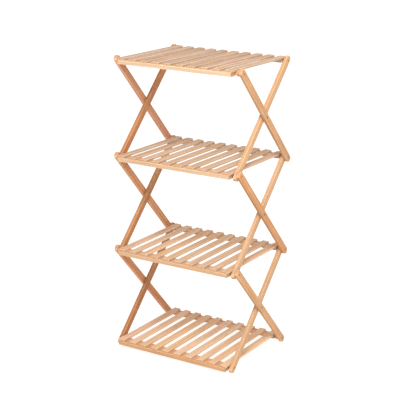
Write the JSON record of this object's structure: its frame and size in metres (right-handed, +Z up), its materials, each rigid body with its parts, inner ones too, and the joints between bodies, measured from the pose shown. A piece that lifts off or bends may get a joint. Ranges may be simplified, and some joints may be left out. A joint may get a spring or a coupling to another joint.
{
  "type": "folding shoe rack",
  "caption": "Folding slatted bamboo rack: tiers of slats run front to back between crossed scissor legs, and the shelves lift as the frame folds upright and flat.",
  "frame": {"origin": "on the floor under the middle of the rack", "axes": "+X along the rods to the right, +Y from front to rear, +Z up"},
  "size_m": [0.43, 0.327, 0.9001],
  "materials": {
    "bamboo_leg": "satin varnish",
    "bamboo_rail": "satin varnish",
    "bamboo_slat": "satin varnish",
    "bamboo_rod": "satin varnish",
    "steel": "dull, darkened"
  },
  "bodies": {
    "base_rod": {"rear_rod_4": "bamboo_rod", "nails_rear_rod_4": "steel", "spacer_rear_right": "bamboo_rod", "spacer_rear_left": "bamboo_rod"},
    "outer_legs_top": {"outer_leg_top_right": "bamboo_leg", "outer_leg_top_left": "bamboo_leg", "cross_pins_1": "steel", "front_rod_1": "bamboo_rod", "nails_front_rod_1": "steel", "rear_rod_2": "bamboo_rod", "nails_rear_rod_2": "steel", "spacer_front_right": "bamboo_rod", "spacer_front_left": "bamboo_rod"},
    "outer_legs_middle": {"outer_leg_middle_right": "bamboo_leg", "outer_leg_middle_left": "bamboo_leg", "cross_pins_2": "steel", "front_rod_2": "bamboo_rod", "nails_front_rod_2": "steel", "rear_rod_3": "bamboo_rod", "nails_rear_rod_3": "steel"},
    "outer_legs_bottom": {"outer_leg_bottom_right": "bamboo_leg", "outer_leg_bottom_left": "bamboo_leg", "cross_pins_3": "steel", "front_rod_3": "bamboo_rod", "nails_front_rod_3": "steel"},
    "inner_legs_top": {"inner_leg_top_right": "bamboo_leg", "inner_leg_top_left": "bamboo_leg", "rear_rod_1": "bamboo_rod", "nails_rear_rod_1": "steel"},
    "inner_legs_middle": {"inner_leg_middle_right": "bamboo_leg", "inner_leg_middle_left": "bamboo_leg"},
    "inner_legs_bottom": {"inner_leg_bottom_right": "bamboo_leg", "inner_leg_bottom_left": "bamboo_leg", "front_rod_4": "bamboo_rod", "nails_front_rod_4": "steel"},
    "shelf_1": {"front_rail_1": "bamboo_rail", "rear_rail_1": "bamboo_rail", "slats_1": "bamboo_slat"},
    "shelf_2": {"front_rail_2": "bamboo_rail", "rear_rail_2": "bamboo_rail", "slats_2": "bamboo_slat"},
    "shelf_3": {"front_rail_3": "bamboo_rail", "rear_rail_3": "bamboo_rail", "slats_3": "bamboo_slat"},
    "shelf_4": {"front_rail_4": "bamboo_rail", "rear_rail_4": "bamboo_rail", "slats_4": "bamboo_slat"}
  },
  "joints": [
    {"name": "base_pivot", "type": "hinge", "parent": "base_rod", "child": "outer_legs_bottom", "pos_m": [0, 0.14852, 0.01506], "axis": [-1, 0, 0], "range_deg": [0, 40.5]},
    {"name": "fold", "type": "hinge", "parent": "outer_legs_bottom", "child": "inner_legs_bottom", "pos_m": [0, 0.00752, 0.16006], "axis": [1, 0, 0], "range_deg": [0, 81]},
    {"name": "front_pivot_3", "type": "hinge", "parent": "outer_legs_bottom", "child": "inner_legs_middle", "pos_m": [0, -0.13348, 0.30506], "axis": [1, 0, 0], "range_deg": [0, 81]},
    {"name": "middle_crossing", "type": "hinge", "parent": "inner_legs_middle", "child": "outer_legs_middle", "pos_m": [0, 0.00752, 0.45006], "axis": [-1, 0, 0], "range_deg": [0, 81]},
    {"name": "front_pivot_2", "type": "hinge", "parent": "outer_legs_middle", "child": "inner_legs_top", "pos_m": [0, -0.13348, 0.59506], "axis": [1, 0, 0], "range_deg": [0, 81]},
    {"name": "top_crossing", "type": "hinge", "parent": "inner_legs_top", "child": "outer_legs_top", "pos_m": [0, 0.00752, 0.74006], "axis": [-1, 0, 0], "range_deg": [0, 81]},
    {"name": "shelf_1_lift", "type": "hinge", "parent": "inner_legs_top", "child": "shelf_1", "pos_m": [0, 0.14852, 0.88506], "axis": [-1, 0, 0], "range_deg": [0, 129.6]},
    {"name": "shelf_2_lift", "type": "hinge", "parent": "outer_legs_top", "child": "shelf_2", "pos_m": [0, 0.14852, 0.59506], "axis": [-1, 0, 0], "range_deg": [0, 48.6]},
    {"name": "shelf_3_lift", "type": "hinge", "parent": "outer_legs_middle", "child": "shelf_3", "pos_m": [0, 0.14852, 0.30506], "axis": [-1, 0, 0], "range_deg": [0, 48.6]},
    {"name": "shelf_4_lift", "type": "hinge", "parent": "base_rod", "child": "shelf_4", "pos_m": [0, 0.14852, 0.01506], "axis": [-1, 0, 0], "range_deg": [0, 89.1]}
  ],
  "couplings": [
    {"joint": "base_pivot", "follows": "fold", "ratio": 0.5},
    {"joint": "front_pivot_3", "follows": "fold", "ratio": 1},
    {"joint": "middle_crossing", "follows": "fold", "ratio": 1},
    {"joint": "front_pivot_2", "follows": "fold", "ratio": 1},
    {"joint": "top_crossing", "follows": "fold", "ratio": 1},
    {"joint": "shelf_1_lift", "follows": "fold", "ratio": 1.6},
    {"joint": "shelf_2_lift", "follows": "fold", "ratio": 0.6},
    {"joint": "shelf_3_lift", "follows": "fold", "ratio": 0.6},
    {"joint": "shelf_4_lift", "follows": "fold", "ratio": 1.1}
  ]
}
